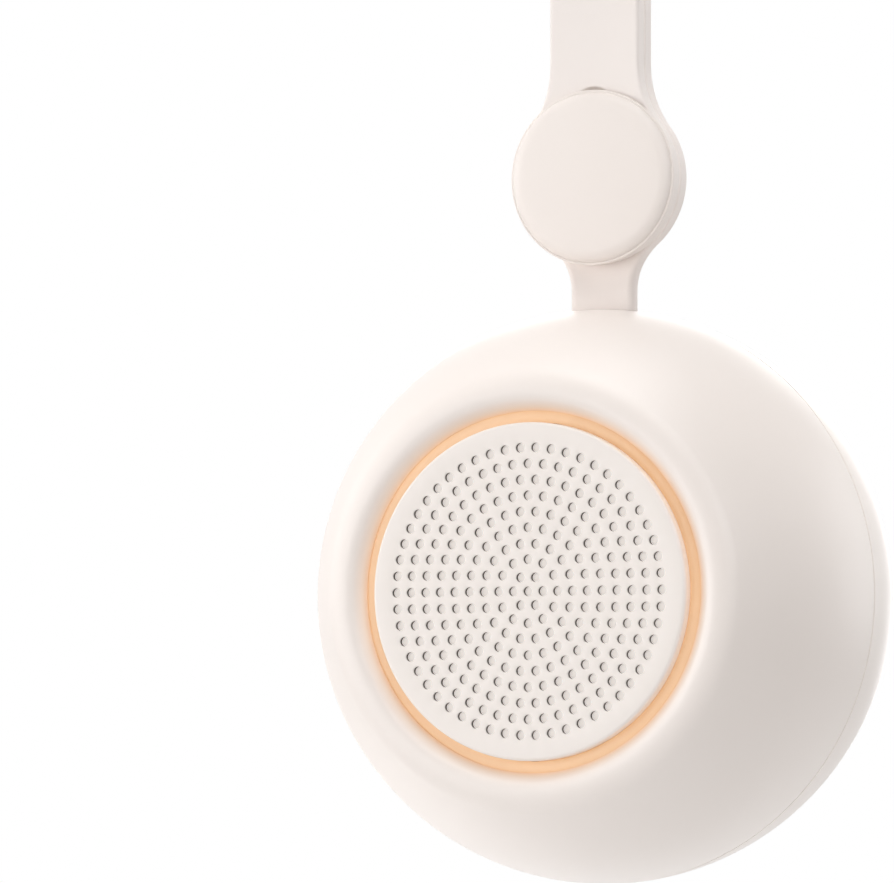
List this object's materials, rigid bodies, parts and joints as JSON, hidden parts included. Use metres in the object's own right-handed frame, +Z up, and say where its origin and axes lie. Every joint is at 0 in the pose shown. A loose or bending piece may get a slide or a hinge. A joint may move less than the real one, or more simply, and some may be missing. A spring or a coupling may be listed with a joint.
{
  "type": "white noise sound machine",
  "caption": "Round portable white noise sound machine with a perforated grille, a light ring, rear buttons and a silicone strap that snaps open.",
  "frame": {"origin": "bearing point of the hanging strap: top of the inside of its loop, midway across the band", "axes": "+Z up along the strap, +Y to the rear (the grille faces -Y), +X to the right seen from the front"},
  "size_m": [0.08, 0.0554, 0.154],
  "materials": {
    "inner_plastic": "grey ABS",
    "steel": "plated",
    "cell_foil": "laminated pouch",
    "lead_vinyl": "PVC sleeve",
    "tape_foam": "double-sided foam tape",
    "chip_resin": "black epoxy",
    "cone_paper": "black pressed pulp",
    "mesh_cloth": "fine pale acoustic mesh",
    "case_plastic": "satin warm white ABS",
    "grille_plastic": "satin warm white ABS",
    "board_laminate": "green solder mask",
    "button_rubber": "matte warm grey",
    "lamp_resin": "clear resin over phosphor",
    "clear_plastic": "clear",
    "light_diffuser": "frosted, lit amber from behind",
    "panel_plastic": "matte warm white",
    "snap_plastic": "satin warm white",
    "black_plastic": "black nylon",
    "plated_steel": "zinc plated pressing",
    "ferrite": "sintered",
    "spider_cloth": "resin-dipped cotton",
    "surround_rubber": "matte black",
    "strap_silicone": "matte warm white silicone",
    "copper": "enamelled wire"
  },
  "bodies": {
    "housing": {"baffle": "inner_plastic", "baffle_screws": "steel", "battery_cell": "cell_foil", "battery_lead": "lead_vinyl", "battery_tape": "tape_foam", "battery_tray": "inner_plastic", "board_chips": "chip_resin", "board_plugs": "inner_plastic", "board_screws": "steel", "case_screws": "steel", "dust_cap": "cone_paper", "dust_mesh": "mesh_cloth", "front_shell": "case_plastic", "grille_disc": "grille_plastic", "light_board": "board_laminate", "light_lamps": "lamp_resin", "light_lead": "lead_vinyl", "light_pipe": "clear_plastic", "light_ring": "light_diffuser", "main_board": "board_laminate", "rear_panel": "panel_plastic", "rear_shell": "case_plastic", "snap_ring": "snap_plastic", "socket_core": "black_plastic", "socket_shell": "steel", "speaker_basket": "plated_steel", "speaker_chamber": "inner_plastic", "speaker_cone": "cone_paper", "speaker_gasket": "cone_paper", "speaker_lead": "lead_vinyl", "speaker_magnet": "ferrite", "speaker_spider": "spider_cloth", "speaker_surround": "surround_rubber", "speaker_yoke": "plated_steel", "status_lamp": "lamp_resin", "strap_pin": "steel", "strap_rear_leg": "strap_silicone", "switches": "black_plastic", "top_plate": "plated_steel", "voice_coil": "copper"},
    "strap_flap": {"strap_front_leg": "strap_silicone", "snap_cap": "snap_plastic", "snap_stud": "snap_plastic"},
    "power_button": {"power_button": "button_rubber"},
    "volume_up_button": {"volume_up_button": "button_rubber"},
    "volume_down_button": {"volume_down_button": "button_rubber"},
    "sound_button": {"sound_button": "button_rubber"},
    "light_button": {"light_button": "button_rubber"}
  },
  "joints": [
    {"name": "strap_open", "type": "hinge", "parent": "housing", "child": "strap_flap", "pos_m": [0, 0, 0.0025], "axis": [-1, 0, 0], "range_deg": [0, 150]},
    {"name": "power_press", "type": "slide", "parent": "housing", "child": "power_button", "axis": [0, -1, 0], "range_m": [0, 0.0004], "stiffness_N_per_m": 200, "springref_m": -0.002},
    {"name": "volume_up_press", "type": "slide", "parent": "housing", "child": "volume_up_button", "axis": [0, -1, 0], "range_m": [0, 0.0004], "stiffness_N_per_m": 200, "springref_m": -0.002},
    {"name": "volume_down_press", "type": "slide", "parent": "housing", "child": "volume_down_button", "axis": [0, -1, 0], "range_m": [0, 0.0004], "stiffness_N_per_m": 200, "springref_m": -0.002},
    {"name": "sound_press", "type": "slide", "parent": "housing", "child": "sound_button", "axis": [0, -1, 0], "range_m": [0, 0.0004], "stiffness_N_per_m": 200, "springref_m": -0.002},
    {"name": "light_press", "type": "slide", "parent": "housing", "child": "light_button", "axis": [0, -1, 0], "range_m": [0, 0.0004], "stiffness_N_per_m": 200, "springref_m": -0.002}
  ]
}
